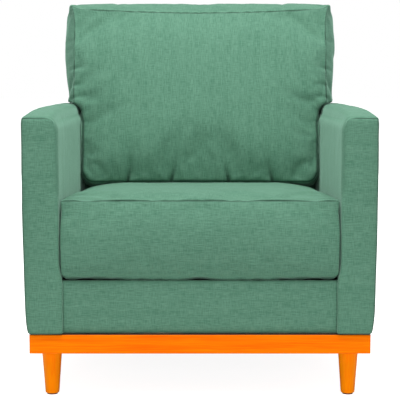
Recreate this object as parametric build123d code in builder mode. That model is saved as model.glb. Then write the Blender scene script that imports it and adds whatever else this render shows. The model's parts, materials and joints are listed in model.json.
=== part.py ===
from build123d import *

# An armchair: a one-seat sofa with a stained wooden plinth on four turned legs, an upholstered
# frame, a loose seat cushion and a loose back cushion. Millimetres, +Z up, the front faces -Y,
# and the origin is on the floor in the middle of the footprint.

import os
from math import cos, radians, sin, tan

# ---------------------------------------------------------------- driving dimensions
width, depth = 780.0, 780.0
arm_thickness, arm_height = 81.0, 622.0
back_height, overall_height = 800.0, 900.0
leg_height, plinth_height = 100.0, 42.0
seat_rake, back_recline = 3.0, 12.0  # degrees

fabric = 2.0  # thickness of a cover
arm_foam, back_foam_front, apron_foam_front = 12.0, 18.0, 10.0
seat_batting, pillow_batting = 18.0, 38.0  # fibre wrap between a cushion's cover and its core
clearance = 0.05  # radial, round bolts, screws and dowels

half_width, half_depth = width / 2, depth / 2
arm_inner = half_width - arm_thickness
plinth_top = leg_height + plinth_height
dust_cover_thickness = 1.0
frame_bottom = plinth_top + dust_cover_thickness

plinth_half_x, plinth_half_y, plinth_rail = 377.0, 382.0, 22.0
plinth_round, dust_margin = 2.5, 3.0
block_leg, block_nose, block_bottom = 100.0, 60.0, leg_height + 3.0
block_hole_radius, block_hole_room = 4.5, 2.0  # room beyond the tip of the leg bolt
leg_x, leg_y = 332.0, 337.0
leg_top_radius, leg_foot_radius = 22.5, 15.5
leg_foot_chamfer = 1.5
glide_height, glide_radius = 3.0, 12.0
nail_radius, nail_top = 1.5, 18.0
plate_side, plate_corner, plate_screw_pitch = 44.0, 4.0, 32.0

seat_rail = 25.0
front_rail_y, front_rail = -366.0, 30.0
back_foot_y, back_bend_z = 246.0, 425.0
deck_front_z = 256.0

SIDES = {"left": -1, "right": 1}
ENDS = {"front": -1, "back": 1}
CORNERS = {f"{end}_{side}": (sx, sy) for end, sy in ENDS.items() for side, sx in SIDES.items()}

rake_cos, rake_sin = cos(radians(seat_rake)), sin(radians(seat_rake))
deck = Plane(origin=(0, front_rail_y, deck_front_z), x_dir=(1, 0, 0), z_dir=(0, rake_sin, rake_cos))


def deck_z(y):
    """Height of the top of the seat rails at depth y."""
    return deck_front_z - (y - front_rail_y) * tan(radians(seat_rake))


def back_face_y(z, inset=0.0):
    """Depth of the front face of the upholstered back at height z, set in by inset."""
    lean = radians(back_recline)
    if z <= back_bend_z:
        return back_foot_y + inset
    return back_foot_y + (z - back_bend_z) * tan(lean) + inset / cos(lean)


os.makedirs("parts", exist_ok=True)


def keep(piece, name):
    """Labels a finished piece and writes its STEP file."""
    piece.part.label = name
    export_step(piece.part, f"parts/{name}.step")


def bar(x, y, z):
    """A square-edged bar between two limits along each axis."""
    with BuildPart() as made:
        with BuildSketch(Plane.XY.offset(z[0])):
            with Locations(((x[0] + x[1]) / 2, (y[0] + y[1]) / 2)):
                Rectangle(x[1] - x[0], y[1] - y[0])
        extrude(amount=z[1] - z[0])
    return made


def profile_bar(points, x):
    """A bar of one side profile, given as (y, z) points, between two limits along X."""
    with BuildPart() as made:
        with BuildSketch(Plane.YZ.offset(x[0])):
            Polygon(*points, align=None)
        extrude(amount=x[1] - x[0])
    return made


def rod(plane, radius, length):
    """A round rod that starts on a plane and runs along its normal."""
    with BuildPart() as made:
        with BuildSketch(plane):
            Circle(radius)
        extrude(amount=length)
    return made.part


def both_ways(limits, sign):
    """Limits along one axis, mirrored for the negative side."""
    return tuple(sorted(sign * v for v in limits))


# ---------------------------------------------------------------- fasteners
screw_radius, screw_head_radius, screw_head, screw_tip = 2.2, 4.4, 3.0, 4.0
plate_screw_length, plinth_screw_length = 22.0, 68.0
plinth_screw_xs, plinth_screw_y = (292.0, 349.5), 284.0
bolt_radius, bolt_head_radius, bolt_head = 4.0, 7.0, 6.0
bolt_length, bolt_z, side_bolt_ys, rear_bolt_x = 62.0, 166.0, (-250.0, 120.0), 150.0
dowel_radius, dowel_length, dowel_edge = 4.0, 42.0, 12.0
leg_bolt_foot, leg_bolt_length = 60.0, 68.0


def screw(origin, length, slack=0.0):
    """A countersunk wood screw that points up, with its head flush at the origin."""
    with BuildPart() as made:
        with BuildSketch(Plane(origin=origin, x_dir=(1, 0, 0), z_dir=(0, -1, 0))):
            with BuildLine():
                Polyline(
                    (0, 0),
                    (screw_head_radius + slack, 0),
                    (screw_radius + slack, screw_head),
                    (screw_radius + slack, length - screw_tip),
                    (0, length + slack),
                    close=True,
                )
            make_face()
        revolve(axis=Axis(origin, (0, 0, 1)))
    return made.part


def bolt(origin, x_dir, direction, slack=0.0):
    """A frame bolt: its hex head sits on the origin plane, and its shank runs along direction."""
    plane = Plane(origin=origin, x_dir=x_dir, z_dir=direction)
    with BuildPart() as made:
        with BuildSketch(plane):
            Circle(bolt_radius + slack)
        extrude(amount=bolt_length)
        if not slack:
            with BuildSketch(plane):
                RegularPolygon(bolt_head_radius, 6)
            extrude(amount=-bolt_head)
    return made.part


def frame_bolts(slack=0.0):
    """Every bolt that holds the arms and the back to the seat box."""
    side_face, rear_face = arm_inner - seat_rail, back_foot_y - seat_rail
    made = []
    for sign in SIDES.values():
        for y in side_bolt_ys:
            made.append(bolt((sign * side_face, y, bolt_z), (0, 1, 0), (sign, 0, 0), slack))
        made.append(bolt((sign * rear_bolt_x, rear_face, bolt_z), (1, 0, 0), (0, 1, 0), slack))
    return made


def corner_screws(sx, sy, slack=0.0):
    """The screws that hold one corner of the plinth up against the frame."""
    return [
        screw((sx * x, sy * plinth_screw_y, block_bottom), plinth_screw_length, slack)
        for x in plinth_screw_xs
    ]


def plinth_screws(slack=0.0):
    """The screws of all four corners of the plinth."""
    return [s for sx, sy in CORNERS.values() for s in corner_screws(sx, sy, slack)]


def plate_screws(sx, sy, slack=0.0):
    """The four screws of one leg plate."""
    half = plate_screw_pitch / 2
    return [
        screw((sx * leg_x + dx, sy * leg_y + dy, leg_height), plate_screw_length, slack)
        for dx in (-half, half)
        for dy in (-half, half)
    ]


def dowels(sx, sy, slack=0.0):
    """The two dowels of one corner joint of the plinth."""
    x = sx * (plinth_half_x - plinth_rail / 2)
    start = sy * (plinth_half_y - plinth_rail + dowel_length / 2)
    planes = [
        Plane(origin=(x, start, leg_height + h), x_dir=(1, 0, 0), z_dir=(0, -sy, 0))
        for h in (dowel_edge, plinth_height - dowel_edge)
    ]
    return [rod(plane, dowel_radius + slack, dowel_length) for plane in planes]


def leg_hole(sx, sy, radius, bottom, top):
    """An upright rod on the axis of a leg, to keep or to cut away."""
    return rod(Plane((sx * leg_x, sy * leg_y, bottom)), radius, top - bottom)


# ---------------------------------------------------------------- legs and plinth
def leg(sx, sy):
    """A turned tapered leg, bored for its hanger bolt above and for the nail of its glide below."""
    axis = Axis((sx * leg_x, sy * leg_y, 0), (0, 0, 1))
    section = Plane(origin=(sx * leg_x, sy * leg_y, 0), x_dir=(1, 0, 0), z_dir=(0, -1, 0))
    with BuildPart() as made:
        with BuildSketch(section):
            with BuildLine():
                Polyline(
                    (0, glide_height),
                    (leg_foot_radius - leg_foot_chamfer, glide_height),
                    (leg_foot_radius, glide_height + leg_foot_chamfer),
                    (leg_top_radius, leg_height),
                    (0, leg_height),
                    close=True,
                )
            make_face()
        revolve(axis=axis)
        add(leg_hole(sx, sy, bolt_radius + clearance, leg_bolt_foot, leg_height), mode=Mode.SUBTRACT)
        add(leg_hole(sx, sy, nail_radius + clearance, glide_height, nail_top), mode=Mode.SUBTRACT)
    return made


def leg_plate(sx, sy):
    """The steel plate between a leg and its corner block."""
    with BuildPart() as made:
        with BuildSketch(Plane((sx * leg_x, sy * leg_y, leg_height))):
            RectangleRounded(plate_side, plate_side, plate_corner)
        extrude(amount=block_bottom - leg_height)
        add(leg_hole(sx, sy, bolt_radius + clearance, leg_height, block_bottom), mode=Mode.SUBTRACT)
        add(plate_screws(sx, sy, clearance), mode=Mode.SUBTRACT)
    return made


def corner_block(sx, sy):
    """A triangular block in the inside corner of the plinth, with its point cut off."""
    x, y = plinth_half_x - plinth_rail, plinth_half_y - plinth_rail
    hole_top = leg_bolt_foot + leg_bolt_length + block_hole_room
    outline = [
        (x, y),
        (x - block_leg, y),
        (x - block_leg, y - block_nose),
        (x - block_nose, y - block_leg),
        (x, y - block_leg),
    ]
    with BuildPart() as made:
        with BuildSketch(Plane.XY.offset(block_bottom)):
            Polygon(*[(sx * px, sy * py) for px, py in outline], align=None)
        extrude(amount=plinth_top - block_bottom)
        add(leg_hole(sx, sy, block_hole_radius, block_bottom, hole_top), mode=Mode.SUBTRACT)
        add(plate_screws(sx, sy, clearance), mode=Mode.SUBTRACT)
        add(corner_screws(sx, sy, clearance), mode=Mode.SUBTRACT)
    return made


with BuildPart() as foot_glides:
    for sx, sy in CORNERS.values():
        with BuildSketch(Plane((sx * leg_x, sy * leg_y, 0))):
            Circle(glide_radius)
        extrude(amount=glide_height)
        add(leg_hole(sx, sy, nail_radius, glide_height, nail_top))
keep(foot_glides, "foot_glides")

with BuildPart() as leg_bolts:
    for sx, sy in CORNERS.values():
        add(leg_hole(sx, sy, bolt_radius, leg_bolt_foot, leg_bolt_foot + leg_bolt_length))
keep(leg_bolts, "leg_bolts")

with BuildPart() as leg_plate_screws:
    for sx, sy in CORNERS.values():
        add(plate_screws(sx, sy))
keep(leg_plate_screws, "leg_plate_screws")

for name, (sx, sy) in CORNERS.items():
    keep(leg(sx, sy), f"leg_{name}")
    keep(leg_plate(sx, sy), f"leg_plate_{name}")
    keep(corner_block(sx, sy), f"corner_block_{name}")

for name, sy in ENDS.items():
    rail_y = both_ways((plinth_half_y - plinth_rail, plinth_half_y), sy)
    with BuildPart() as plinth_end:
        add(bar((-plinth_half_x, plinth_half_x), rail_y, (leg_height, plinth_top)).part)
        show_face = plinth_end.faces().sort_by(Axis.Y)[0 if sy < 0 else -1]
        fillet(show_face.edges(), plinth_round)
        for sx in SIDES.values():
            add(dowels(sx, sy, clearance), mode=Mode.SUBTRACT)
    keep(plinth_end, f"plinth_rail_{name}")

for name, sx in SIDES.items():
    rail_x = both_ways((plinth_half_x - plinth_rail, plinth_half_x), sx)
    reach = plinth_half_y - plinth_rail
    with BuildPart() as plinth_side:
        add(bar(rail_x, (-reach, reach), (leg_height, plinth_top)).part)
        show_face = plinth_side.faces().sort_by(Axis.X)[0 if sx < 0 else -1]
        fillet(show_face.edges().filter_by(Axis.Y), plinth_round)
        for sy in ENDS.values():
            add(dowels(sx, sy, clearance), mode=Mode.SUBTRACT)
    keep(plinth_side, f"plinth_rail_{name}")

with BuildPart() as plinth_dowels:
    for sx, sy in CORNERS.values():
        add(dowels(sx, sy))
keep(plinth_dowels, "plinth_dowels")

with BuildPart() as plinth_to_frame_screws:
    add(plinth_screws())
keep(plinth_to_frame_screws, "plinth_to_frame_screws")

with BuildPart() as dust_cover:
    with BuildSketch(Plane.XY.offset(plinth_top)):
        Rectangle(2 * (plinth_half_x - dust_margin), 2 * (plinth_half_y - dust_margin))
    extrude(amount=dust_cover_thickness)
    add(plinth_screws(clearance), mode=Mode.SUBTRACT)
keep(dust_cover, "dust_cover")


# ---------------------------------------------------------------- seat box
def seat_box_rail(y_from, y_to, x):
    """A rail of the seat box. Its top follows the rake of the seat."""
    points = [(y_from, frame_bottom), (y_to, frame_bottom), (y_to, deck_z(y_to)), (y_from, deck_z(y_from))]
    return profile_bar(points, x)


def bored(piece, cutters):
    """The piece with its bolt or screw holes."""
    with BuildPart() as made:
        add(piece.part)
        add(cutters, mode=Mode.SUBTRACT)
    return made


front_rail_back = front_rail_y + front_rail
rear_rail_front = back_foot_y - seat_rail
keep(seat_box_rail(front_rail_y, front_rail_back, (-arm_inner, arm_inner)), "seat_rail_front")
rear_rail = seat_box_rail(rear_rail_front, back_foot_y, (-arm_inner, arm_inner))
keep(bored(rear_rail, frame_bolts(clearance)), "seat_rail_back")
for name, sx in SIDES.items():
    rail_x = both_ways((arm_inner - seat_rail, arm_inner), sx)
    side_rail = seat_box_rail(front_rail_back, rear_rail_front, rail_x)
    keep(bored(side_rail, frame_bolts(clearance) + plinth_screws(clearance)), f"seat_rail_{name}")

with BuildPart() as bolts:
    add(frame_bolts())
keep(bolts, "frame_bolts")


# ---------------------------------------------------------------- webbing
strap_thickness, strap_width, strap_lift, strap_ease = 1.6, 56.0, 0.9, 5.0


def strap(plane, bearing, crossings, ends):
    """One strap. It runs along the plane's X, lies flat on its rail for the bearing at each end, and
    passes over or under the strap at each crossing, given as (position, +1 over or -1 under)."""
    middle = strap_thickness / 2
    reach = strap_width / 2 + strap_ease
    line = [(ends[0], middle), (ends[0] + bearing, middle)]
    for at, way in crossings:
        line += [(at - reach, middle + way * strap_lift), (at + reach, middle + way * strap_lift)]
    line += [(ends[1] - bearing, middle), (ends[1], middle)]
    top = [(s, h + strap_thickness / 2) for s, h in line]
    bottom = [(s, h - strap_thickness / 2) for s, h in reversed(line)]
    with BuildPart() as made:
        with BuildSketch(plane):
            Polygon(*top, *bottom, align=None)
        extrude(amount=strap_width / 2, both=True)
    return made.part


def webbing(base, long_xs, cross_ys, y_ends, x_half, bearings):
    """Woven straps on a base plane: those that run along its Y, and those across. The bearings are
    the flat lengths at the ends of each kind, where it is stapled to a rail."""
    long_straps, cross_straps = [], []
    for i, x in enumerate(long_xs):
        plane = Plane(origin=base.from_local_coords((x, 0, 0)), x_dir=base.y_dir, z_dir=base.x_dir)
        crossings = [(y, 1 if (i + j) % 2 else -1) for j, y in enumerate(cross_ys)]
        long_straps.append(strap(plane, bearings[0], crossings, y_ends))
    for j, y in enumerate(cross_ys):
        plane = Plane(origin=base.from_local_coords((0, y, 0)), x_dir=base.x_dir, z_dir=-base.y_dir)
        crossings = [(x, -1 if (i + j) % 2 else 1) for i, x in enumerate(long_xs)]
        cross_straps.append(strap(plane, bearings[1], crossings, (-x_half, x_half)))
    return long_straps, cross_straps


def keep_group(pieces, name):
    """Writes several loose pieces as one node."""
    with BuildPart() as group:
        add(pieces)
    keep(group, name)


strap_start, strap_margin = 12.0, 5.0
deck_length = (back_foot_y - front_rail_y) / rake_cos
seat_long, seat_cross = webbing(
    deck,
    long_xs=[-210, -105, 0, 105, 210],
    cross_ys=[100, 230, 360, 490],
    y_ends=(strap_start, deck_length - strap_margin),
    x_half=arm_inner - strap_margin,
    bearings=(24.0, 24.0),
)
keep_group(seat_long, "seat_webbing_lengthwise")
keep_group(seat_cross, "seat_webbing_crosswise")

# ---------------------------------------------------------------- apron and deck cloth
apron_face_y = front_rail_y - apron_foam_front - fabric
apron_flap_end = front_rail_y + 10.0
apron_half, apron_round = arm_inner - 0.5, 9.0
cloth_bottom, cloth_top = 3.2, 5.0  # above the seat rails
cloth_front, cloth_rear = strap_start - 1.0, deck_length - 1.0


def apron_block(inset):
    """The padded front panel under the seat cushion, with its flap over the front rail."""
    face, top = apron_face_y + inset, cloth_top - inset
    points = [
        (face, frame_bottom),
        (face, deck_z(face) + top),
        (apron_flap_end, deck_z(apron_flap_end) + top),
        (apron_flap_end, frame_bottom),
    ]
    with BuildPart() as made:
        add(profile_bar(points, (-apron_half, apron_half)).part)
        front_edges = made.edges().filter_by(Axis.X).group_by(Axis.Y)[0]
        fillet(front_edges.sort_by(Axis.Z)[-1], apron_round - inset)
    return made.part


with BuildPart() as apron_cover:
    add(apron_block(0))
    add(apron_block(fabric), mode=Mode.SUBTRACT)
keep(apron_cover, "apron_cover")

with BuildPart() as apron_foam:
    add(apron_block(fabric))
    add(seat_box_rail(front_rail_y, front_rail_back, (-arm_inner, arm_inner)).part, mode=Mode.SUBTRACT)
keep(apron_foam, "apron_foam")

with BuildPart() as deck_cloth:
    with BuildSketch(deck.offset(cloth_bottom)):
        with Locations((0, (cloth_front + cloth_rear) / 2)):
            Rectangle(2 * apron_half, cloth_rear - cloth_front)
    extrude(amount=cloth_top - cloth_bottom)
keep(deck_cloth, "seat_deck_cloth")

# ---------------------------------------------------------------- arms
arm_round = 16.0
arm_timber, arm_panel = 45.0, 3.0


def arm_block(sx, inset, rounded):
    """The outline of one arm, set in on every side but its bottom."""
    x = both_ways((arm_inner + inset, half_width - inset), sx)
    y = (-half_depth + inset, half_depth - inset)
    with BuildPart() as made:
        add(bar(x, y, (frame_bottom, arm_height - inset)).part)
        if rounded:
            upright = made.edges().filter_by(Axis.Z)
            fillet(upright + made.faces().sort_by(Axis.Z)[-1].edges(), arm_round - inset)
    return made.part


arm_holes = frame_bolts(clearance) + plinth_screws(clearance)
padding = fabric + arm_foam  # from the outside of an arm to its timber
post_y = (half_depth - padding - arm_timber, half_depth - padding)
timber_top = arm_height - padding

for name, sx in SIDES.items():
    with BuildPart() as arm_cover:
        add(arm_block(sx, 0, rounded=True))
        add(arm_block(sx, fabric, rounded=True), mode=Mode.SUBTRACT)
        add(arm_holes, mode=Mode.SUBTRACT)
    keep(arm_cover, f"arm_cover_{name}")

    with BuildPart() as arm_padding:
        add(arm_block(sx, fabric, rounded=True))
        add(arm_block(sx, padding, rounded=False), mode=Mode.SUBTRACT)
        add(arm_holes, mode=Mode.SUBTRACT)
    keep(arm_padding, f"arm_foam_{name}")

    inner, outer = arm_inner + padding, half_width - padding
    span_y, span_z = (-post_y[1], post_y[1]), (frame_bottom, timber_top)
    with BuildPart() as arm_panels:
        add(bar(both_ways((inner, inner + arm_panel), sx), span_y, span_z).part)
        add(bar(both_ways((outer - arm_panel, outer), sx), span_y, span_z).part)
        add(arm_holes, mode=Mode.SUBTRACT)
    keep(arm_panels, f"arm_panels_{name}")

    timber_x = both_ways((inner + arm_panel, outer - arm_panel), sx)
    between = (-post_y[0], post_y[0])
    keep(bar(timber_x, both_ways(post_y, -1), span_z), f"arm_front_post_{name}")
    keep(bar(timber_x, post_y, span_z), f"arm_back_post_{name}")
    keep(bar(timber_x, between, (timber_top - arm_timber, timber_top)), f"arm_top_rail_{name}")
    bottom_rail = bar(timber_x, between, (frame_bottom, frame_bottom + arm_timber))
    keep(bored(bottom_rail, arm_holes), f"arm_bottom_rail_{name}")

# ---------------------------------------------------------------- back
back_round = 14.0
back_side, back_timber = 18.0, 45.0
foam_top, foam_rear, foam_side = 8.0, 4.0, 6.0
webbing_room = 4.0
top_rail, lumbar_rail, back_rail_thickness = 60.0, 80.0, 25.0


def back_block(front, rear, top, side):
    """The outline of the upholstered back, set in from its front, rear, top and sides."""
    z = back_height - top
    points = [
        (back_face_y(frame_bottom, front), frame_bottom),
        (back_face_y(back_bend_z, front), back_bend_z),
        (back_face_y(z, front), z),
        (half_depth - rear, z),
        (half_depth - rear, frame_bottom),
    ]
    return profile_bar(points, (-arm_inner + side, arm_inner - side))


def rounded_back(inset):
    """The outline of the upholstered back, evenly set in, with its top edges rounded."""
    with BuildPart() as made:
        add(back_block(inset, inset, inset, inset).part)
        fillet(made.faces().sort_by(Axis.Z)[-1].edges(), back_round - inset)
    return made.part


frame_front = fabric + back_foam_front + webbing_room
frame_rear, frame_top, frame_side = fabric + foam_rear, fabric + foam_top, fabric + foam_side
frame_x = arm_inner - frame_side
rear_y, top_z = half_depth - frame_rear, back_height - frame_top

with BuildPart() as back_cover:
    add(rounded_back(0))
    add(rounded_back(fabric), mode=Mode.SUBTRACT)
    add(frame_bolts(clearance), mode=Mode.SUBTRACT)
keep(back_cover, "back_cover")

with BuildPart() as back_foam:
    add(rounded_back(fabric))
    add(back_block(frame_front - webbing_room, frame_rear, frame_top, frame_side).part, mode=Mode.SUBTRACT)
    add(frame_bolts(clearance), mode=Mode.SUBTRACT)
keep(back_foam, "back_foam")

for name, sx in SIDES.items():
    side_x = both_ways((frame_x - back_side, frame_x), sx)
    side_points = [
        (back_face_y(frame_bottom, frame_front), frame_bottom),
        (back_face_y(back_bend_z, frame_front), back_bend_z),
        (back_face_y(top_z, frame_front), top_z),
        (rear_y, top_z),
        (rear_y, frame_bottom),
    ]
    keep(bored(profile_bar(side_points, side_x), plinth_screws(clearance)), f"back_side_{name}")

between_sides = (-frame_x + back_side, frame_x - back_side)
lumbar_z = back_bend_z - 10.0


def back_rail(z_from, z_to):
    """A cross rail of the back, just behind its webbing."""
    front_from, front_to = back_face_y(z_from, frame_front), back_face_y(z_to, frame_front)
    points = [
        (front_from, z_from),
        (front_to, z_to),
        (front_to + back_rail_thickness, z_to),
        (front_from + back_rail_thickness, z_from),
    ]
    return profile_bar(points, between_sides)


keep(back_rail(top_z - top_rail, top_z), "back_rail_top")
keep(back_rail(lumbar_z, lumbar_z + lumbar_rail), "back_rail_lumbar")
keep(bored(back_rail(frame_bottom, frame_bottom + back_timber), frame_bolts(clearance)), "back_rail_bottom")

lean = radians(back_recline)
back_plane = Plane(
    origin=(0, back_face_y(back_bend_z, frame_front), back_bend_z),
    x_dir=(1, 0, 0),
    z_dir=(0, -cos(lean), sin(lean)),
)
back_slope = (top_z - back_bend_z) / cos(lean)
back_long, back_cross = webbing(
    back_plane,
    long_xs=[-170, 0, 170],
    cross_ys=[115, 193, 271],
    y_ends=(22.0, back_slope - strap_margin),
    x_half=frame_x - strap_margin,
    bearings=(58.0, 20.0),
)
keep_group(back_long + back_cross, "back_webbing")

# ---------------------------------------------------------------- seat cushion
cushion_half = arm_inner - 3.0
seat_front, seat_rear = (-half_depth - front_rail_y) / rake_cos, deck_length - 15.0
seat_bottom, seat_edge, seat_top = cloth_top + 0.5, 180.0, 208.0  # above the seat rails
seat_crown_run, seat_corner = 120.0, 22.0


def seat_block(inset):
    """The seat cushion: a box with a low crown that slopes up from its front and side edges."""
    long, wide = seat_rear - seat_front, 2 * cushion_half
    with BuildPart() as made:
        with BuildSketch(deck.offset(seat_bottom + inset)):
            with Locations((0, (seat_front + seat_rear) / 2)):
                RectangleRounded(wide - 2 * inset, long - 2 * inset, seat_corner - inset)
        extrude(amount=seat_edge - seat_bottom - 2 * inset)
        for height, run in ((seat_edge - inset, 0.0), (seat_top - inset, seat_crown_run)):
            with BuildSketch(deck.offset(height)):
                with Locations((0, (seat_front + seat_rear + run) / 2)):
                    RectangleRounded(wide - 2 * (inset + run), long - 2 * inset - run, seat_corner - inset)
        loft()
    return made.part


# ---------------------------------------------------------------- back cushion
pillow_wing, wing_bottom = 352.0, arm_height + 9.0
pillow_foot_z, pillow_rear_top = 434.0, 868.0
pillow_front_foot, pillow_front_top = 128.0, 205.0
belly_y, belly_z = 122.0, 600.0
pillow_round, pillow_gap = 24.0, 1.0


def pillow_bottom(y):
    """Height of the underside of the back cushion, which stands just clear of the seat cushion."""
    return deck_z(y) + (seat_top + pillow_gap) / rake_cos


def pillow_block(inset):
    """The back cushion: it stands on the seat cushion between the arms, and is wider above them."""
    rear_foot = back_face_y(pillow_foot_z) - pillow_gap
    points = [
        (rear_foot - inset, pillow_bottom(rear_foot) + inset),
        (back_face_y(pillow_rear_top) - pillow_gap - inset, pillow_rear_top - inset),
        (pillow_front_top + inset, overall_height - inset),
        (belly_y + inset, belly_z),
        (pillow_front_foot + inset, pillow_bottom(pillow_front_foot) + inset),
    ]
    with BuildPart() as made:
        add(profile_bar(points, (-pillow_wing + inset, pillow_wing - inset)).part)
        if inset < pillow_round:
            top_edges = made.edges().filter_by(Axis.X).sort_by(Axis.Z)[-2:]
            fillet(top_edges, pillow_round - inset)
        for sx in SIDES.values():
            beside = both_ways((cushion_half - inset, half_width), sx)
            add(bar(beside, (0, half_depth), (frame_bottom, wing_bottom + inset)).part, mode=Mode.SUBTRACT)
    return made.part


def keep_cushion(block, batting, name):
    """A cushion in three pieces, each inside the last: its cover, its fibre wrap and its core."""
    with BuildPart() as cover:
        add(block(0))
        add(block(fabric), mode=Mode.SUBTRACT)
    keep(cover, f"{name}_cover")
    with BuildPart() as wrap:
        add(block(fabric))
        add(block(fabric + batting), mode=Mode.SUBTRACT)
    keep(wrap, f"{name}_fibre_wrap")
    with BuildPart() as middle:
        add(block(fabric + batting))
    keep(middle, f"{name}_core")


keep_cushion(seat_block, seat_batting, "seat_cushion")
keep_cushion(pillow_block, pillow_batting, "back_cushion")
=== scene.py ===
import json
from math import cos, pi, radians, sin, tan

import bpy
import numpy as np
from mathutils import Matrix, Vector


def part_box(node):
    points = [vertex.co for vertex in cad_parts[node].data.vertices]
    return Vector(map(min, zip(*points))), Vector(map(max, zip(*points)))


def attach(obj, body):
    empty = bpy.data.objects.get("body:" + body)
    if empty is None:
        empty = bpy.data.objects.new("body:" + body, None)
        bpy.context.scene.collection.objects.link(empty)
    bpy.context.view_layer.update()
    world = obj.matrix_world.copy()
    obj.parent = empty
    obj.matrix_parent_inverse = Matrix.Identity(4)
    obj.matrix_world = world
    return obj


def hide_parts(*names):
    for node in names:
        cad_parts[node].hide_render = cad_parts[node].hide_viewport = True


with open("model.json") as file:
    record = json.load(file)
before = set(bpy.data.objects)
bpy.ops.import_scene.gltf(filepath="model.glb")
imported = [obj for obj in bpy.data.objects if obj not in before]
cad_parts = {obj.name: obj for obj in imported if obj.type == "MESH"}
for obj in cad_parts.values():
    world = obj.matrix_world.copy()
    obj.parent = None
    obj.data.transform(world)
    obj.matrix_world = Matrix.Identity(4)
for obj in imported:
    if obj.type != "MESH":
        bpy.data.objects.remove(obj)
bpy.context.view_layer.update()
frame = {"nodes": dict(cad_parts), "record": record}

# The looks of an upholstered armchair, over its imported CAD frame. Metres, +Z up, the front is -Y.

MM = 0.001
LEFT, RIGHT = -1, 1
SIDES = {"left": LEFT, "right": RIGHT}
X, Y, Z = 0, 1, 2

# ---------------------------------------------------------------- places read from the frame


def low(node, axis):
    """The lowest place of a CAD node along one axis."""
    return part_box(node)[0][axis]


def high(node, axis):
    """The highest place of a CAD node along one axis."""
    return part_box(node)[1][axis]


seat_rake, back_recline = radians(3), radians(12)
frame_bottom = low("arm_cover_left", Z)
arm_inner, arm_outer = low("arm_cover_right", X), high("arm_cover_right", X)
arm_front, arm_rear = low("arm_cover_right", Y), high("arm_cover_right", Y)
arm_top = high("arm_cover_right", Z)
deck_y, deck_z = low("seat_rail_front", Y), high("seat_rail_front", Z)
seat_line = 0.43  # height of the seat's front edge
bend_y, bend_z = low("back_cover", Y), 0.425  # where the back's face starts to recline
clear = 2 * MM  # between a cushion and what it leans on


# ---------------------------------------------------------------- camera, light and floor
def aim(thing, place, target):
    """Puts a camera or lamp at a place and points it at a target."""
    x, y, z = np.array(target) - np.array(place)
    thing.location = place
    thing.rotation_euler = (pi / 2 + np.arctan2(z, np.hypot(x, y)), 0, np.arctan2(-x, y))


def link(thing):
    """Puts an object in the scene."""
    bpy.context.scene.collection.objects.link(thing)
    return thing


def make_camera():
    """A long lens in front of the chair, a little above the arms and tipped down."""
    distance, height, pitch = 2.75, 0.7045, radians(5.45)
    camera = bpy.data.cameras.new("camera")
    camera.lens, camera.sensor_width = 114.2, 36.0
    holder = link(bpy.data.objects.new("camera", camera))
    place = (0, arm_front - distance, height)
    aim(holder, place, (0, place[Y] + cos(pitch), height - sin(pitch)))
    bpy.context.scene.camera = holder


def make_lamp(name, place, target, size, power):
    """A square lamp, some metres wide and some watts strong."""
    lamp = bpy.data.lights.new(name, "AREA")
    lamp.shape, lamp.size, lamp.energy = "SQUARE", size, power
    aim(link(bpy.data.objects.new(name, lamp)), place, target)


def light_room(light):
    """An even white room, which the camera sees at full white and the chair as a softer light."""
    world = bpy.data.worlds.new("room")
    world.use_nodes = True
    tree = world.node_tree
    seen = node(tree, "ShaderNodeLightPath").outputs["Is Camera Ray"]
    tree.links.new(maths(tree, "MAXIMUM", seen, light), tree.nodes["Background"].inputs["Strength"])
    tree.nodes["Background"].inputs["Color"].default_value = (1, 1, 1, 1)
    bpy.context.scene.world = world
    bpy.context.scene.view_settings.view_transform = "Standard"


def lay_floor(reach, shade, glow):
    """A pale floor, which also glows to the camera, so that only soft shadows show on it."""
    corners = [(-reach, -reach, 0), (reach, -reach, 0), (reach, reach, 0), (-reach, reach, 0)]
    mesh = bpy.data.meshes.new("floor")
    mesh.from_pydata(corners, [], [(0, 1, 2, 3)])
    paint, tree, shader = new_material("floor_paint")
    shader.inputs["Base Color"].default_value = (shade, shade, shade, 1)
    shader.inputs["Roughness"].default_value = 0.9
    shader.inputs["Emission Color"].default_value = (1, 1, 1, 1)
    seen = node(tree, "ShaderNodeLightPath").outputs["Is Camera Ray"]
    tree.links.new(maths(tree, "MULTIPLY", seen, glow), shader.inputs["Emission Strength"])
    mesh.materials.append(paint)
    link(bpy.data.objects.new("floor", mesh))


def make_stage():
    """A pale floor in an even white room, with soft light from above, from the front and from behind."""
    light_room(0.32)
    make_lamp("key", place=(0, -0.9, 3.0), target=(0, 0, 0.4), size=2.0, power=97)
    make_lamp("fill", place=(0, -8.0, 0.7), target=(0, 0, 0.4), size=4.8, power=272)
    make_lamp("rear", place=(0, 6.0, 1.6), target=(0, 0, 0.4), size=3.0, power=45)
    lay_floor(reach=40.0, shade=0.80, glow=0.88)


# ---------------------------------------------------------------- materials
def new_material(name):
    """A material, its node tree and its shader."""
    made = bpy.data.materials.new(name)
    made.use_nodes = True
    return made, made.node_tree, made.node_tree.nodes["Principled BSDF"]


def node(tree, kind, inputs=None, **settings):
    """A shader node. Each input is a number, or a socket to link."""
    made = tree.nodes.new(kind)
    for key, value in settings.items():
        setattr(made, key, value)
    for key, value in (inputs or {}).items():
        if isinstance(value, bpy.types.NodeSocket):
            tree.links.new(value, made.inputs[key])
        else:
            made.inputs[key].default_value = value
    return made


def noise(tree, coords, scale, detail=2.0, roughness=0.5):
    """Noise whose grains measure 1/scale metres along each axis."""
    stretched = node(tree, "ShaderNodeVectorMath", {0: coords, 1: scale}, operation="MULTIPLY")
    inputs = {"Vector": stretched.outputs[0], "Scale": 1.0, "Detail": detail, "Roughness": roughness}
    return node(tree, "ShaderNodeTexNoise", inputs).outputs["Fac"]


def maths(tree, operation, a, b):
    """One operation on two values, each a number or a socket."""
    return node(tree, "ShaderNodeMath", {0: a, 1: b}, operation=operation).outputs[0]


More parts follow.
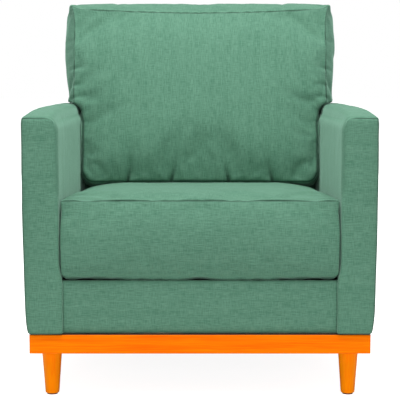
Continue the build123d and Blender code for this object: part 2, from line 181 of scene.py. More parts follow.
def mixed(tree, a, share, b, rest):
    """A share of one value and a share of another, added."""
    return maths(tree, "ADD", maths(tree, "MULTIPLY", a, share), maths(tree, "MULTIPLY", b, rest))


def ramp(tree, value, stops):
    """A colour ramp of (position, colour) stops."""
    made = node(tree, "ShaderNodeValToRGB", {"Fac": value})
    elements = made.color_ramp.elements
    while len(elements) < len(stops):
        elements.new(0.5)
    for element, (position, colour) in zip(elements, stops):
        element.position = position
        element.color = (*colour, 1)
    return made.outputs["Color"]


def bump(tree, shader, height, distance, strength=0.5):
    """Gives a shader a relief that is distance high."""
    made = node(tree, "ShaderNodeBump", {"Height": height, "Distance": distance, "Strength": strength})
    tree.links.new(made.outputs["Normal"], shader.inputs["Normal"])


def woven_cloth(name, dark, light, yarn, sheen):
    """Plain-woven upholstery cloth, laid out by its panels' own map: uneven yarns both ways, thicker
    slubs and faint bands along the weft, and shadow in its seams."""
    made, tree, shader = new_material(name)
    coords = node(tree, "ShaderNodeUVMap", uv_map="cloth").outputs["UV"]
    across, along = 1 / yarn, 1 / (12 * yarn)
    warp = noise(tree, coords, (across, along, 0), 2.0, 0.6)
    weft = noise(tree, coords, (along, across, 0), 2.0, 0.6)
    yarns = mixed(tree, warp, 0.42, weft, 0.58)
    slubs = noise(tree, coords, (1 / (60 * MM), 1 / (3 * yarn), 0), 2.0)
    bands = noise(tree, coords, (1 / (140 * MM), 1 / (18 * MM), 0), 2.0)
    shade = mixed(tree, yarns, 0.76, maths(tree, "ADD", slubs, bands), 0.12)
    weave = ramp(tree, shade, [(0.40, dark), (0.60, light)])
    # Painted shade: the cloth is darkened by up to three quarters where the "seam" value marks a seam,
    # and on the back cushion a fold.
    seam = node(tree, "ShaderNodeAttribute", attribute_name="seam").outputs["Fac"]
    brightness = maths(tree, "SUBTRACT", 1.0, maths(tree, "MULTIPLY", seam, 0.75))
    dimmed = node(tree, "ShaderNodeVectorMath", {0: weave, "Scale": brightness}, operation="SCALE")
    tree.links.new(dimmed.outputs[0], shader.inputs["Base Color"])
    bump(tree, shader, yarns, 1.2 * MM)
    shader.inputs["Roughness"].default_value = 0.85
    shader.inputs["Specular IOR Level"].default_value = 0.2
    shader.inputs["Sheen Weight"].default_value = sheen
    shader.inputs["Sheen Roughness"].default_value = 0.4
    shader.inputs["Sheen Tint"].default_value = (0.6, 1.0, 0.8, 1)
    return made


def plain_stuff(name, dark, light, grain, roughness=0.9):
    """Lining cloth, webbing, foam, fibre or hardboard: a mottled surface with a fine relief."""
    made, tree, shader = new_material(name)
    coords = node(tree, "ShaderNodeTexCoord").outputs["Object"]
    mottle = noise(tree, coords, (1 / grain,) * 3, 4.0, 0.65)
    tree.links.new(ramp(tree, mottle, [(0.3, dark), (0.7, light)]), shader.inputs["Base Color"])
    bump(tree, shader, mottle, 0.5 * grain)
    shader.inputs["Roughness"].default_value = roughness
    return made


def grained_wood(name, dark, light, grain_axis, gloss, coat):
    """Wood whose grain runs along one axis of the chair, under a thin finish."""
    made, tree, shader = new_material(name)
    coords = node(tree, "ShaderNodeTexCoord").outputs["Object"]
    fine, coarse = [1 / (2.2 * MM)] * 3, [1 / (16 * MM)] * 3
    fine[grain_axis], coarse[grain_axis] = 1 / (70 * MM), 1 / (260 * MM)
    streaks = noise(tree, coords, tuple(fine), 3.0, 0.6)
    figure = noise(tree, coords, tuple(coarse), 2.0, 0.5)
    grain = mixed(tree, streaks, 0.55, figure, 0.45)
    tree.links.new(ramp(tree, grain, [(0.34, dark), (0.64, light)]), shader.inputs["Base Color"])
    uneven_gloss = maths(tree, "ADD", gloss - 0.06, maths(tree, "MULTIPLY", streaks, 0.12))
    tree.links.new(uneven_gloss, shader.inputs["Roughness"])
    bump(tree, shader, streaks, 0.15 * MM)
    shader.inputs["Specular IOR Level"].default_value = 0.2
    shader.inputs["Specular Tint"].default_value = (*light, 1)
    shader.inputs["Coat Weight"].default_value = coat
    shader.inputs["Coat Roughness"].default_value = 0.3
    shader.inputs["Coat Tint"].default_value = (*light, 1)
    return made


def plated_steel():
    """Zinc-plated steel with a faint spangle."""
    made, tree, shader = new_material("zinc_plated_steel")
    coords = node(tree, "ShaderNodeTexCoord").outputs["Object"]
    spangle = noise(tree, coords, (1 / (3 * MM),) * 3, 3.0)
    greys = [(0.3, (0.52, 0.52, 0.50)), (0.7, (0.70, 0.70, 0.67))]
    tree.links.new(ramp(tree, spangle, greys), shader.inputs["Base Color"])
    uneven_gloss = maths(tree, "ADD", 0.28, maths(tree, "MULTIPLY", spangle, 0.2))
    tree.links.new(uneven_gloss, shader.inputs["Roughness"])
    shader.inputs["Metallic"].default_value = 1.0
    return made


def moulded_plastic():
    """Matt black plastic with a fine grain."""
    made, tree, shader = new_material("glide_plastic")
    coords = node(tree, "ShaderNodeTexCoord").outputs["Object"]
    grain = noise(tree, coords, (1 / (0.8 * MM),) * 3, 2.0)
    blacks = [(0.3, (0.02,) * 3), (0.7, (0.035,) * 3)]
    tree.links.new(ramp(tree, grain, blacks), shader.inputs["Base Color"])
    bump(tree, shader, grain, 0.05 * MM, 0.4)
    shader.inputs["Roughness"].default_value = 0.55
    return made


# ---------------------------------------------------------------- soft meshes
# The panels of a block by the way they face: 2 * axis, plus 1 on the far side.
LOW_X, HIGH_X, LOW_Y, HIGH_Y, LOW_Z, HIGH_Z = range(6)


def shell(lines, solid=None):
    """The outer quads of a block of cells between three sets of lattice lines. Returns the lattice
    indices of its points, its quads, and the panel that each quad belongs to."""
    counts = [len(line) - 1 for line in lines]
    cells = np.ones(counts, bool) if solid is None else solid
    padded = np.pad(cells, 1)
    corners, panels = [], []
    for axis in range(3):
        first, second = (axis + 1) % 3, (axis + 2) % 3
        for far in (0, 1):
            beyond = np.roll(padded, 1 - 2 * far, axis)[1:-1, 1:-1, 1:-1]
            found = np.argwhere(cells & ~beyond)
            steps = [(0, 0), (1, 0), (1, 1), (0, 1)]
            quad = np.repeat(found[:, None, :], 4, 1)
            for corner, (a, b) in enumerate(steps if far else steps[::-1]):
                quad[:, corner, axis] += far
                quad[:, corner, first] += a
                quad[:, corner, second] += b
            corners.append(quad)
            panels.append(np.full(len(found), 2 * axis + far))
    corners, panels = np.concatenate(corners), np.concatenate(panels)
    indices, quads = np.unique(corners.reshape(-1, 3), axis=0, return_inverse=True)
    return indices, quads.reshape(-1, 4), panels


def lattice_places(lines, indices):
    """The places of a lattice's points."""
    return np.stack([line[i] for line, i in zip(lines, indices.T)], 1)


def around(panel):
    """The seams round one panel, as pairs of panels."""
    return [(panel, other) for other in range(6) if other // 2 != panel // 2]


def seam_points(quads, panels, seams, count):
    """1 on the points where the two panels of any of the seams meet, 0 elsewhere."""
    on = np.zeros((6, count), bool)
    for panel in range(6):
        on[panel, quads[panels == panel].ravel()] = True
    sewn = np.zeros(count)
    for a, b in seams:
        sewn[on[a] & on[b]] = 1
    return sewn


def soft_object(name, points, quads, panels, flat, seam, upright=False):
    """A mesh with a "cloth" map of each panel, in metres, and a "seam" value on each point. The
    map's first axis follows the weft, which runs across a front panel unless that is cut upright."""
    panel_shift = 0.37  # keeps the panels apart on the cloth
    mesh = bpy.data.meshes.new(name)
    mesh.from_pydata(points.tolist(), [], quads.tolist())
    weft_and_warp = {X: (Z, Y), Y: (Z, X) if upright else (X, Z), Z: (X, Y)}
    chosen = np.array([weft_and_warp[panel // 2] for panel in panels])
    cloth = np.take_along_axis(flat[quads], np.repeat(chosen[:, None, :], 4, 1), 2)
    cloth += panels[:, None, None] * panel_shift
    mesh.uv_layers.new(name="cloth").data.foreach_set("uv", cloth.astype(np.float32).ravel())
    mesh.attributes.new("seam", "FLOAT", "POINT")
    mesh.polygons.foreach_set("use_smooth", [True] * len(quads))
    made = link(bpy.data.objects.new(name, mesh))
    set_seam_values(made, seam)
    return made


def apply_modifiers(thing):
    """Replaces the mesh by what its modifiers make of it."""
    graph = bpy.context.evaluated_depsgraph_get()
    result = bpy.data.meshes.new_from_object(thing.evaluated_get(graph), depsgraph=graph)
    thing.modifiers.clear()
    old, thing.data = thing.data, result
    bpy.data.meshes.remove(old)
    thing.data.name = thing.name


def read(thing):
    """The places of an object's points."""
    points = np.empty(len(thing.data.vertices) * 3)
    thing.data.vertices.foreach_get("co", points)
    return points.reshape(-1, 3)


def write(thing, points):
    """Moves an object's points to new places."""
    thing.data.vertices.foreach_set("co", points.astype(np.float32).ravel())
    thing.data.update()


def normals(thing):
    """The outward direction at each of an object's points."""
    found = np.empty(len(thing.data.vertices) * 3)
    thing.data.vertices.foreach_get("normal", found)
    return found.reshape(-1, 3)


def seam_values(thing):
    """How deep in a seam each of an object's points lies, from 0 to 1."""
    found = np.empty(len(thing.data.vertices))
    thing.data.attributes["seam"].data.foreach_get("value", found)
    return found


def set_seam_values(thing, values):
    """Marks how deep in a seam each of an object's points lies, which darkens its cloth there with
    painted shade.
    """
    thing.data.attributes["seam"].data.foreach_set("value", values.astype(np.float32))


def ripple(points, wavelength, seed, waves=14):
    """A smooth random field of about -1 to 1, made of waves that run in all directions."""
    random = np.random.default_rng(seed)
    directions = random.normal(size=(waves, 3))
    directions /= np.linalg.norm(directions, axis=1)[:, None]
    sizes = random.uniform(0.7, 1.6, waves) * 2 * pi / wavelength
    phases = random.uniform(0, 2 * pi, waves)
    return np.sin(points @ (directions * sizes[:, None]).T + phases).mean(1) * (waves / 8) ** 0.5


def subdivide(thing):
    """Smooths a mesh by one subdivision."""
    smooth = thing.modifiers.new("smooth", "SUBSURF")
    smooth.levels = smooth.render_levels = 1
    apply_modifiers(thing)


def finish_soft(thing, seam_depth, wave, seed):
    """Sinks the seams of a soft piece and gives its cloth a slight unevenness."""
    points, outward, seam = read(thing), normals(thing), seam_values(thing)
    uneven = 0.6 * ripple(points, 110 * MM, seed) + 0.4 * ripple(points, 45 * MM, seed + 1)
    beside_seam = np.clip(1 - abs(seam - 0.5) * 2, 0, 1)
    gathers = 0.5 * MM * ripple(points, 16 * MM, seed + 2) * beside_seam
    offset = wave * uneven + gathers - seam_depth * seam**2
    write(thing, points + outward * offset[:, None])


def inflate(thing, pinned, frames, pressure, cap, slack=0.03):
    """Blows a closed cloth skin up like a stuffed cushion, by no more than cap at any point.
    Pinned is a weight for each point, and slack is how much too big its panels are cut."""
    start = read(thing)
    modifier = thing.modifiers.new("cloth", "CLOTH")
    cloth = modifier.settings
    cloth.quality = 6
    cloth.mass = 0.3
    cloth.tension_stiffness = cloth.compression_stiffness = 40
    cloth.shear_stiffness = 15
    cloth.bending_stiffness = 0.5
    cloth.use_pressure = True
    cloth.uniform_pressure_force = pressure
    cloth.effector_weights.gravity = 0
    sewn = thing.vertex_groups.new(name="sewn")
    for i in np.nonzero(pinned)[0]:
        sewn.add([int(i)], float(pinned[i]), "REPLACE")
    cloth.vertex_group_mass = "sewn"
    cloth.shrink_min = -slack
    modifier.collision_settings.use_collision = False
    modifier.point_cache.frame_start, modifier.point_cache.frame_end = 1, frames
    for step in range(1, frames + 1):
        bpy.context.scene.frame_set(step)
    apply_modifiers(thing)
    thing.vertex_groups.clear()
    bpy.context.scene.frame_set(1)
    moved = read(thing) - start
    length = np.maximum(np.linalg.norm(moved, axis=1), 1e-9)
    write(thing, start + moved * (cap * np.tanh(length / cap) / length)[:, None])


def round_edge(points, faces, radius):
    """Rounds the edge where two faces of a box meet. Each face is (axis, place, side). The radius
    is one length, or one for each point."""
    (a, place_a, side_a), (b, place_b, side_b) = faces
    radius = np.broadcast_to(radius, len(points))
    depth_a = radius - side_a * (place_a - points[:, a])
    depth_b = radius - side_b * (place_b - points[:, b])
    inside = (depth_a > 0) & (depth_b > 0)
    far = np.maximum(depth_a[inside], depth_b[inside])
    shrink = far / np.hypot(depth_a[inside], depth_b[inside])
    points[inside, a] = place_a - side_a * (radius[inside] - depth_a[inside] * shrink)
    points[inside, b] = place_b - side_b * (radius[inside] - depth_b[inside] * shrink)


def lattice_line(*stops, spacing):
    """Evenly spaced places through each of the stops."""
    line = [stops[0]]
    for start, end in zip(stops, stops[1:]):
        steps = max(1, round(abs(end - start) / spacing))
        line += list(np.linspace(start, end, steps + 1)[1:])
    return np.array(line)


def seamed_line(*stops, spacing, row=3 * MM):
    """A lattice line with a narrow row beside each of its stops, where a seam runs."""
    rows = [stops[0]]
    for start, end in zip(stops, stops[1:]):
        rows += [start + row, end - row, end]
    return lattice_line(*rows, spacing=spacing)


def smoothstep(value, start, end):
    """Goes smoothly from 0 at the start to 1 at the end."""
    t = np.clip((value - start) / (end - start), 0, 1)
    return t * t * (3 - 2 * t)


# ---------------------------------------------------------------- arms
arm_round = 28 * MM  # radius of an arm's inner top edge


def arm_crown(across, y):
    """How far an arm's padded top rises over its edges. Across is -1 at the inner side, and 1 at
    the outer."""
    padding = 17.5 * MM
    at_front = 1 - np.exp((arm_front - y) / (90 * MM))
    at_rear = smoothstep(arm_rear - y, 0, 50 * MM)
    return padding * at_front * at_rear * (1 - abs(across) ** 12)


def round_arm(points, height):
    """Rounds an arm's edges. Its inner front edge is rounder above the seat than beside it."""
    inner, outer = (X, arm_inner, -1), (X, arm_outer, 1)
    front, rear = (Y, arm_front, -1), (Y, arm_rear, 1)
    bottom, top = (Z, frame_bottom, -1), (Z, arm_top, 1)
    edges = [
        (outer, front, 9 * MM),
        (inner, rear, 10 * MM),
        (outer, rear, 10 * MM),
        (inner, top, arm_round),
        (outer, top, 8 * MM),
        (front, top, 8 * MM),
        (rear, top, 12 * MM),
        (inner, bottom, 5 * MM),
        (outer, bottom, 4 * MM),
        (front, bottom, 9 * MM),
        (rear, bottom, 6 * MM),
        (inner, front, 6 * MM + 14 * MM * smoothstep(height, seat_line, seat_line + 30 * MM)),
    ]
    for one, other, radius in edges:
        round_edge(points, (one, other), radius)


def pad_arm(points, flat, across):
    """Crowns an arm's top, bellies its front, and tucks its sides in at the foot and the apron."""
    height = flat[:, Z]
    upper = smoothstep(height, arm_top - 50 * MM, arm_top - 2 * MM)
    points[:, Z] += upper * arm_crown(across, flat[:, Y])
    rise = np.clip((height - frame_bottom) / (arm_top - frame_bottom), 0, 1)
    belly = np.sin(pi * rise) ** 0.5 * (1 - across**2) * (flat[:, Y] == arm_front)
    points[:, Y] -= 3 * MM * belly
    taper = 3 * MM * (1 - smoothstep(height, 0.2, 0.45))
    foot = 7 * MM * np.exp((frame_bottom - height) / (30 * MM))
    points[:, X] -= smoothstep(across, 0.2, 1.0) * (taper + foot)
    before_deck = 1 - smoothstep(flat[:, Y], deck_y - 6 * MM, deck_y + 16 * MM)
    beside_apron = before_deck * (1 - smoothstep(height, 0.25, 0.30))
    points[:, X] -= 7 * MM * smoothstep(-across, 0.0, 1.0) * beside_apron


def arm_upholstery(name, side):
    """A padded arm: a front panel sewn to a crowned top panel, over sides and a back. It is shaped
    as a right arm, and mirrored for the left."""
    spacing = 9 * MM
    lines = [
        seamed_line(arm_inner, arm_outer, spacing=spacing),
        seamed_line(arm_front, arm_rear, spacing=spacing),
        seamed_line(frame_bottom, arm_top, spacing=spacing),
    ]
    indices, quads, panels = shell(lines)
    flat = lattice_places(lines, indices)
    points = flat.copy()
    across = (flat[:, X] - (arm_inner + arm_outer) / 2) / ((arm_outer - arm_inner) / 2)
    round_arm(points, flat[:, Z])
    pad_arm(points, flat, across)
    end_seams = [(end, other) for end in (LOW_Y, HIGH_Y) for other in (HIGH_Z, HIGH_X)]
    # The foot seams sink the arm's lower front and outer edges and darken them with painted shade where
    # the cloth tucks under.
    foot_seams = [(LOW_Z, LOW_Y), (LOW_Z, HIGH_X)]
    faded = seam_points(quads, panels, end_seams, len(points)) * smoothstep(across, -0.75, -0.2)
    seam = np.maximum(faded, seam_points(quads, panels, foot_seams, len(points)))
    for places in (points, flat):
        places[:, X] *= side
    if side == LEFT:
        quads = quads[:, ::-1]
    arm = soft_object(name, points, quads, panels, flat, seam)
    subdivide(arm)
    finish_soft(arm, seam_depth=2.0 * MM, wave=0.9 * MM, seed=11 + side)
    return arm


# ---------------------------------------------------------------- apron and back
def apron_upholstery():
    """The padded front panel under the seat cushion."""
    lowest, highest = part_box("apron_cover")
    lines = [
        lattice_line(lowest[X], highest[X], spacing=9 * MM),
        lattice_line(lowest[Y], highest[Y], spacing=5.5 * MM),
        lattice_line(lowest[Z], highest[Z], spacing=8 * MM),
    ]
    indices, quads, panels = shell(lines)
    flat = lattice_places(lines, indices)
    points = flat.copy()
    front, top, bottom = (Y, lowest[Y], -1), (Z, highest[Z], 1), (Z, lowest[Z], -1)
    round_edge(points, (front, top), 10 * MM)
    round_edge(points, (front, bottom), 14 * MM)
    for side in SIDES.values():
        round_edge(points, ((X, side * highest[X], side), front), 6 * MM)
    rise = (flat[:, Z] - lowest[Z]) / (highest[Z] - lowest[Z])
    points[:, Z] += 3 * MM * smoothstep(rise, 0.8, 1) * (flat[:, Y] < deck_y - 4 * MM)
    points[:, Y] -= 2.5 * MM * np.sin(pi * rise) * (flat[:, Y] == lowest[Y])
    seam = seam_points(quads, panels, [(LOW_Y, LOW_X), (LOW_Y, HIGH_X)], len(points))
    apron = soft_object("apron_upholstery", points, quads, panels, flat, seam)
    subdivide(apron)
    finish_soft(apron, seam_depth=1.0 * MM, wave=0.8 * MM, seed=31)
    return apron


def back_upholstery():
    """The upholstered back behind the loose cushion. Its face reclines above the bend."""
    lowest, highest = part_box("back_cover")
    lines = [
        lattice_line(lowest[X], highest[X], spacing=10 * MM),
        lattice_line(0.0, 1.0, spacing=0.1),
        lattice_line(lowest[Z], bend_z, highest[Z], spacing=10 * MM),
    ]
    indices, quads, panels = shell(lines)
    points = lattice_places(lines, indices)
    face = lowest[Y] + np.clip(points[:, Z] - bend_z, 0, None) * tan(back_recline)
    points[:, Y] = face + points[:, Y] * (highest[Y] - face)
    flat = points.copy()
    rear, top, bottom = (Y, highest[Y], 1), (Z, highest[Z], 1), (Z, lowest[Z], -1)
    for side in SIDES.values():
        round_edge(points, ((X, side * highest[X], side), top), 14 * MM)
        round_edge(points, ((X, side * highest[X], side), rear), 8 * MM)
    round_edge(points, (rear, top), 10 * MM)
    round_edge(points, (rear, bottom), 6 * MM)
    across = flat[:, X] / highest[X]
    rise = (flat[:, Z] - lowest[Z]) / (highest[Z] - lowest[Z])
    points[:, Z] += 5 * MM * (1 - across**6) * (flat[:, Z] == highest[Z])
    points[:, Y] += 1.5 * MM * (1 - across**8) * np.sin(pi * rise) * (flat[:, Y] == highest[Y])
    seam = seam_points(quads, panels, [(HIGH_Y, other) for other in (LOW_X, HIGH_X, HIGH_Z)], len(points))
    back = soft_object("back_upholstery", points, quads, panels, flat, seam)
    subdivide(back)
    finish_soft(back, seam_depth=2.0 * MM, wave=0.8 * MM, seed=41)
    return back


# ---------------------------------------------------------------- seat cushion
seat_lowest, seat_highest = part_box("seat_cushion_cover")
seat_half = seat_highest[X]
seat_length = (seat_highest[Y] - seat_lowest[Y]) / cos(seat_rake) - 2 * MM
seat_start = (arm_front - deck_y) / cos(seat_rake)  # how far its front is along the deck
seat_floor = 5.5 * MM  # height of its underside over the deck
seat_edge = 183 * MM  # height of its top seams over the deck
seat_crown = 25 * MM  # how far its middle rises over those seams


def crown_share(across, along):
    """How much of its crown the seat has at a place, where each side edge is at 1 and -1."""
    return (1 - np.clip(abs(across), 0, 1) ** 3) ** 0.7 * (1 - np.clip(-along, 0, 1) ** 3) ** 0.7


def lay_on_deck(points):
    """Takes (across, along, up) places above the seat deck to the chair's frame."""
    across, along, up = points.T
    y = deck_y + along * cos(seat_rake) + up * sin(seat_rake)
    z = deck_z - along * sin(seat_rake) + up * cos(seat_rake)
    return np.stack([across, y, z], 1)


def shape_seat_cushion(points, flat):
    """Rounds the seat cushion's edges, crowns its top and bellies its front."""
    front, rear = (Y, seat_start, -1), (Y, seat_start + seat_length, 1)
    underside = (Z, seat_floor, -1)
    for side in SIDES.values():
        side_face = (X, side * seat_half, side)
        round_edge(points, (side_face, front), 6 * MM)
        round_edge(points, (side_face, rear), 18 * MM)
        round_edge(points, (side_face, underside), 19 * MM)
    round_edge(points, (front, underside), 36 * MM)
    across = flat[:, X] / seat_half
    along = (flat[:, Y] - seat_start) / seat_length * 2 - 1
    rise = (flat[:, Z] - seat_floor) / (seat_edge - seat_floor)
    points[:, Z] += seat_crown * smoothstep(rise, 0.8, 1.0) * crown_share(across, along)
    belly = np.sin(pi * rise**1.2) ** 0.8
    points[:, Y] -= 12 * MM * (flat[:, Y] == seat_start) * (1 - across**8) * belly


def keep_seat_in_place(points):
    """Keeps the blown-up seat cushion between the arms, over the deck and before the back."""
    points[:, X] = np.clip(points[:, X], -seat_half, seat_half)
    points[:, Y] = np.minimum(points[:, Y], seat_start + seat_length)
    points[:, Z] = np.clip(points[:, Z], seat_floor, seat_edge + seat_crown)


def seat_cushion():
    """The boxed seat cushion, built square to its deck and then laid on it."""
    spacing = 9 * MM
    lines = [
        seamed_line(-seat_half, seat_half, spacing=spacing),
        seamed_line(seat_start, seat_start + seat_length, spacing=spacing),
        seamed_line(seat_floor, seat_edge, spacing=spacing),
    ]
    indices, quads, panels = shell(lines)
    flat = lattice_places(lines, indices)
    points = flat.copy()
    shape_seat_cushion(points, flat)
    seam = seam_points(quads, panels, around(HIGH_Z), len(points))
    under_seam = seam_points(quads, panels, around(LOW_Z), len(points))
    cushion = soft_object("seat_cushion_upholstery", points, quads, panels, flat, seam)
    inflate(cushion, np.maximum(seam, under_seam), frames=16, pressure=2.0, cap=5 * MM)
    points = read(cushion)
    keep_seat_in_place(points)
    write(cushion, lay_on_deck(points))
    subdivide(cushion)
    finish_soft(cushion, seam_depth=2.0 * MM, wave=1.0 * MM, seed=51)
    return cushion


# ---------------------------------------------------------------- back cushion
pillow_foot = 0.434  # height of its bottom seams
wing_foot = arm_top + 16 * MM  # height of its lower edges over the arms
body_half = 305 * MM  # half its width between the arms
wing_half = 329 * MM  # half its width above them
pillow_tall = 443 * MM
pillow_thick = 121 * MM
wing_rise = 196 * MM  # how far up its wings start
fold_places, fold_depth = (76 * MM, 188 * MM), 22 * MM
dent_heights, dent_depth = (202 * MM, 235 * MM, 280 * MM), 6 * MM


def lean_in(points):
    """Takes (across, forward, up) places in the reclined frame of the back to the chair's frame."""
    across, forward, up = points.T
    root_y = bend_y + (pillow_foot - bend_z) * tan(back_recline) - clear
    y = root_y + up * sin(back_recline) - forward * cos(back_recline)
    z = pillow_foot + up * cos(back_recline) + forward * sin(back_recline)
    return np.stack([across, y, z], 1)


def lean_out(points):
    """Takes places in the chair's frame back to the reclined frame of the back."""
    root = lean_in(np.zeros((1, 3)))[0]
    x, y, z = (points - root).T
    forward = z * sin(back_recline) - y * cos(back_recline)
    up = y * sin(back_recline) + z * cos(back_recline)
    return np.stack([x, forward, up], 1)


def level(height, forward):
    """How far up the recline a level plane at a height lies, at a place forward of the back."""
    return (height - pillow_foot - forward * sin(back_recline)) / cos(back_recline)


def meet_arms(points, onto):
    """Moves places out of the arms, whose inner top edges are round. Those marked in onto are laid
    on the round edge, also from a distance."""
    side = np.sign(points[:, X])
    across = (abs(points[:, X]) - arm_inner) / (arm_outer - arm_inner) * 2 - 1
    top = arm_top + arm_crown(np.clip(across, -1, 1), points[:, Y]) + clear
    centre_x, centre_z = arm_inner - clear + arm_round, top - arm_round
    inward = np.maximum(centre_x - abs(points[:, X]), 0)
    upward = np.maximum(points[:, Z] - centre_z, 1e-6)
    reach = np.hypot(inward, upward)
    moved = (reach < arm_round) | (onto & (inward > 0) & (upward > 1e-6))
    points[moved, X] = (side * (centre_x - inward * arm_round / reach))[moved]
    points[moved, Z] = (centre_z + upward * arm_round / reach)[moved]


def keep_off_seat(points):
    """Moves places up out of the crowned seat cushion."""
    along = (points[:, Y] - arm_front) / seat_length * 2 - 1
    top = seat_edge + seat_crown * crown_share(points[:, X] / seat_half, along)
    surface = deck_z - (points[:, Y] - deck_y) * tan(seat_rake) + top / cos(seat_rake)
    points[:, Z] = np.maximum(points[:, Z], surface + clear)


def crease(points):
    """Presses the creases of the stuffing into the cushion's face: folds that rise from its bottom
    seam, and dents that run in from its side seams. Returns how much painted shade each place gets in a
    fold."""
    aside, forward, height = abs(points[:, X]), points[:, Y], points[:, Z]
    face = smoothstep(forward, 0.6 * pillow_thick, 0.95 * pillow_thick)
    above_seam = np.maximum(height - level(pillow_foot, pillow_thick), 0)
    pressed, fold_shade = 0, 0
    for place in fold_places:
        off = aside - place + 0.25 * above_seam
        width = 4 * MM + 0.15 * above_seam
        pressed = pressed + fold_depth * np.exp(-abs(off) / width - above_seam / (45 * MM))
        # painted shade down the middle of each fold
        one_fold_shade = np.exp(-((off / (4 * MM)) ** 2) - (above_seam / (35 * MM)) ** 2)
        fold_shade = np.maximum(fold_shade, one_fold_shade)
    from_side = np.maximum(np.where(height < wing_rise, body_half, wing_half) - aside, 0)
    for place in dent_heights:
        off = height - place
        width = 4 * MM + 0.12 * from_side
        pressed = pressed + dent_depth * np.exp(-((off / width) ** 2) - from_side / (20 * MM))
    points[:, Y] -= face * pressed
    return face * fold_shade


def stuff_back_cushion(points, flat):
    """Gives the flat panels of the back cushion their stuffed shape, in the reclined frame of the
    back: swollen sides and top, flared top corners, a full face and a foot that sags forward."""
    depth, rise = flat[:, Y] / pillow_thick, flat[:, Z] / pillow_tall
    below = flat[:, Z] < wing_rise
    across = flat[:, X] / np.where(below, body_half, wing_half)
    at_side = np.sign(across) * (abs(across) > 0.999)
    bulge = np.sin(pi * depth**0.66)
    for side in SIDES.values():
        wing_side, body_side = (X, side * wing_half, side), (X, side * body_half, side)
        round_edge(points, (wing_side, (Z, pillow_tall, 1)), 12 * MM * bulge * ~below)
        round_edge(points, (body_side, (Z, 0, -1)), 34 * MM * below)

    near_top = np.exp((flat[:, Z] - pillow_tall) / (20 * MM))
    near_side = np.exp((abs(flat[:, X]) - wing_half) / (15 * MM))
    near_wing_foot = np.exp(-abs(flat[:, Z] - wing_rise) / (20 * MM))
    wing_swell = 17 * MM + 9 * MM * smoothstep(rise, 0.45, 0.8) + 9 * MM * near_wing_foot
    swell = np.where(below, 2 * MM, wing_swell)
    side_bulge = at_side * bulge * swell * (1 - 0.5 * near_top)
    corner_flare = across * 12 * MM * near_top
    points[:, X] += side_bulge + corner_flare

    top_bulge = 25 * MM * bulge * (rise > 0.999) * (1 - 0.4 * near_side)
    corner_lift = 8 * MM * near_side * near_top
    points[:, Z] += top_bulge + corner_lift
    top_seam_dip = 12 * MM * (1 - across**2) * smoothstep(depth, 0.4, 1) * smoothstep(rise, 0.8, 1)
    points[:, Z] -= top_seam_dip
    foot_corner_sag = 18 * MM * bulge * smoothstep(abs(across), 0.75, 1) * (rise < 0.08)
    points[:, Z] -= foot_corner_sag

    full = (1 - abs(across) ** 3) ** 0.7 * np.sin(pi * rise**0.55) ** 0.7
    belly = 25 * MM * full * depth**2
    foot_sag = 24 * MM * (0.5 - rise) * depth
    points[:, Y] += belly + foot_sag


def level_feet(points):
    """Lays the feet of the leaning cushion's body and wings along the seat and the arms."""
    forward, up = points[:, Y], points[:, Z]
    foot = level(pillow_foot, forward) + forward * sin(back_recline - seat_rake) * 0.35
    wing = level(wing_foot, forward)
    lower = foot + up / wing_rise * (wing - foot)
    upper = wing + (up - wing_rise) / (pillow_tall - wing_rise) * (pillow_tall - wing)
    points[:, Z] = np.where(up < wing_rise, lower, upper)


def back_cushion():
    """The boxed back cushion: narrow between the arms, and wide above them."""
    spacing, row = 7.5 * MM, 3 * MM
    across_stops = (-wing_half, row - wing_half, -body_half, body_half, wing_half - row, wing_half)
    lines = [
        lattice_line(*across_stops, spacing=spacing),
        seamed_line(0, pillow_thick, spacing=spacing),
        lattice_line(0, row, wing_rise, pillow_tall - row, pillow_tall, spacing=spacing),
    ]
    middles = [(line[1:] + line[:-1]) / 2 for line in lines]
    place = np.stack(np.meshgrid(*middles, indexing="ij"), -1)
    solid = (abs(place[..., X]) < body_half) | (place[..., Z] > wing_rise)
    indices, quads, panels = shell(lines, solid)
    flat = lattice_places(lines, indices)
    points = flat.copy()
    face_seam = seam_points(quads, panels, around(HIGH_Y), len(points))
    rear_seam = seam_points(quads, panels, around(LOW_Y), len(points))
    seam = np.maximum(face_seam, rear_seam)
    boxing = np.zeros(len(points), bool)
    boxing[quads[(panels != LOW_Y) & (panels != HIGH_Y)].ravel()] = True
    beside_arm = boxing & (flat[:, Z] < wing_rise + row / 2)

    stuff_back_cushion(points, flat)
    level_feet(points)
    points = lean_in(points)
    meet_arms(points, beside_arm)
    points = lean_out(points)
    cushion = soft_object("back_cushion_upholstery", points, quads, panels, flat, seam, upright=True)
    inflate(cushion, seam, frames=20, pressure=4.0, cap=np.where(boxing, 9 * MM, 24 * MM))
    subdivide(cushion)

    points = read(cushion)
    points[:, Y] = np.maximum(points[:, Y], 0)
    fold_shade = crease(points)
    points = lean_in(points)
    meet_arms(points, np.zeros(len(points), bool))
    keep_off_seat(points)
    write(cushion, points)
    cushion.data.flip_normals()  # because the reclined frame mirrors the chair's
    finish_soft(cushion, seam_depth=2.0 * MM, wave=1.5 * MM, seed=61)
    # the folds' painted shade joins the seam values that darken the cloth
    set_seam_values(cushion, np.maximum(seam_values(cushion), fold_shade))
    return cushion


# ---------------------------------------------------------------- finish of the CAD pieces
def rail_stains():
    """The orange stain of the plinth rails, by the axis that their grain follows."""
    dark, light = (0.90, 0.125, 0.0), (1.0, 0.24, 0.0)
    along_x = grained_wood("orange_stain_x", dark, light, X, gloss=0.45, coat=0.05)
    along_y = grained_wood("orange_stain_y", dark, light, Y, gloss=0.45, coat=0.05)
    return {X: along_x, Y: along_y}


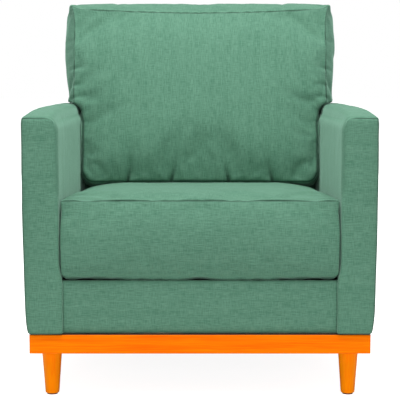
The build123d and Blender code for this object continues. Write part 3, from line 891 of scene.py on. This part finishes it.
def leg_stain_and_painted_light():
    """The legs' orange stain: a slightly yellower copy of the rails', made lighter with painted light for
    the shade under the chair.
    """
    dark, light = (1.0, 0.21, 0.0), (1.0, 0.33, 0.0)
    return grained_wood("orange_stain_legs_painted_light", dark, light, Z, gloss=0.45, coat=0.05)


def sawn_pine():
    """The bare timber inside the frame."""
    return grained_wood("sawn_pine", (0.50, 0.33, 0.17), (0.68, 0.50, 0.30), Z, gloss=0.7, coat=0.0)


def dress_frame():
    """Gives every carried-over CAD node its material."""
    rails = rail_stains()
    finishes = {
        # the legs' stain carries painted light against the shade under the chair
        "leg_wood": leg_stain_and_painted_light(),
        "frame_wood": sawn_pine(),
        "hardboard": plain_stuff("hardboard", (0.20, 0.11, 0.06), (0.30, 0.18, 0.10), 4 * MM, 0.7),
        "zinc_steel": plated_steel(),
        "glide_plastic": moulded_plastic(),
        "lining_cloth": plain_stuff("black_lining", (0.012,) * 3, (0.03,) * 3, 2 * MM),
        "webbing": plain_stuff("jute_webbing", (0.42, 0.32, 0.19), (0.60, 0.50, 0.34), 2 * MM),
        "foam": plain_stuff("foam", (0.80, 0.74, 0.50), (0.88, 0.83, 0.62), 3 * MM),
        "fibre": plain_stuff("fibre_wrap", (0.85,) * 3, (0.95,) * 3, 6 * MM),
    }
    slots = {part["node"]: part["material_slot"] for part in frame["record"]["subparts"]}
    for name, thing in frame["nodes"].items():
        if slots[name] == "plinth_wood":
            finish = rails[Y] if name.endswith(("left", "right")) else rails[X]
        else:
            finish = finishes.get(slots[name])
        if finish:
            thing.data.materials.clear()
            thing.data.materials.append(finish)


def upholster(piece, body, fill, *nodes):
    """Covers a piece in the chair's cloth and lets it stand for its CAD nodes."""
    piece.data.materials.append(cloth)
    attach(piece, body)
    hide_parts(*nodes)


make_camera()
make_stage()
dress_frame()
sage_dark, sage_light = (0.062, 0.170, 0.110), (0.120, 0.262, 0.181)
cloth = woven_cloth("sage_upholstery", sage_dark, sage_light, yarn=1.6 * MM, sheen=0.35)

for side_name, side in SIDES.items():
    arm = arm_upholstery(f"arm_upholstery_{side_name}", side)
    upholster(arm, "frame", 0.9, f"arm_cover_{side_name}", f"arm_foam_{side_name}")
upholster(apron_upholstery(), "frame", 0.9, "apron_cover", "apron_foam")
upholster(back_upholstery(), "frame", 0.9, "back_cover", "back_foam")
upholster(seat_cushion(), "seat_cushion", 0.8, "seat_cushion_cover", "seat_cushion_fibre_wrap")
upholster(back_cushion(), "back_cushion", 0.7, "back_cushion_cover", "back_cushion_fibre_wrap")
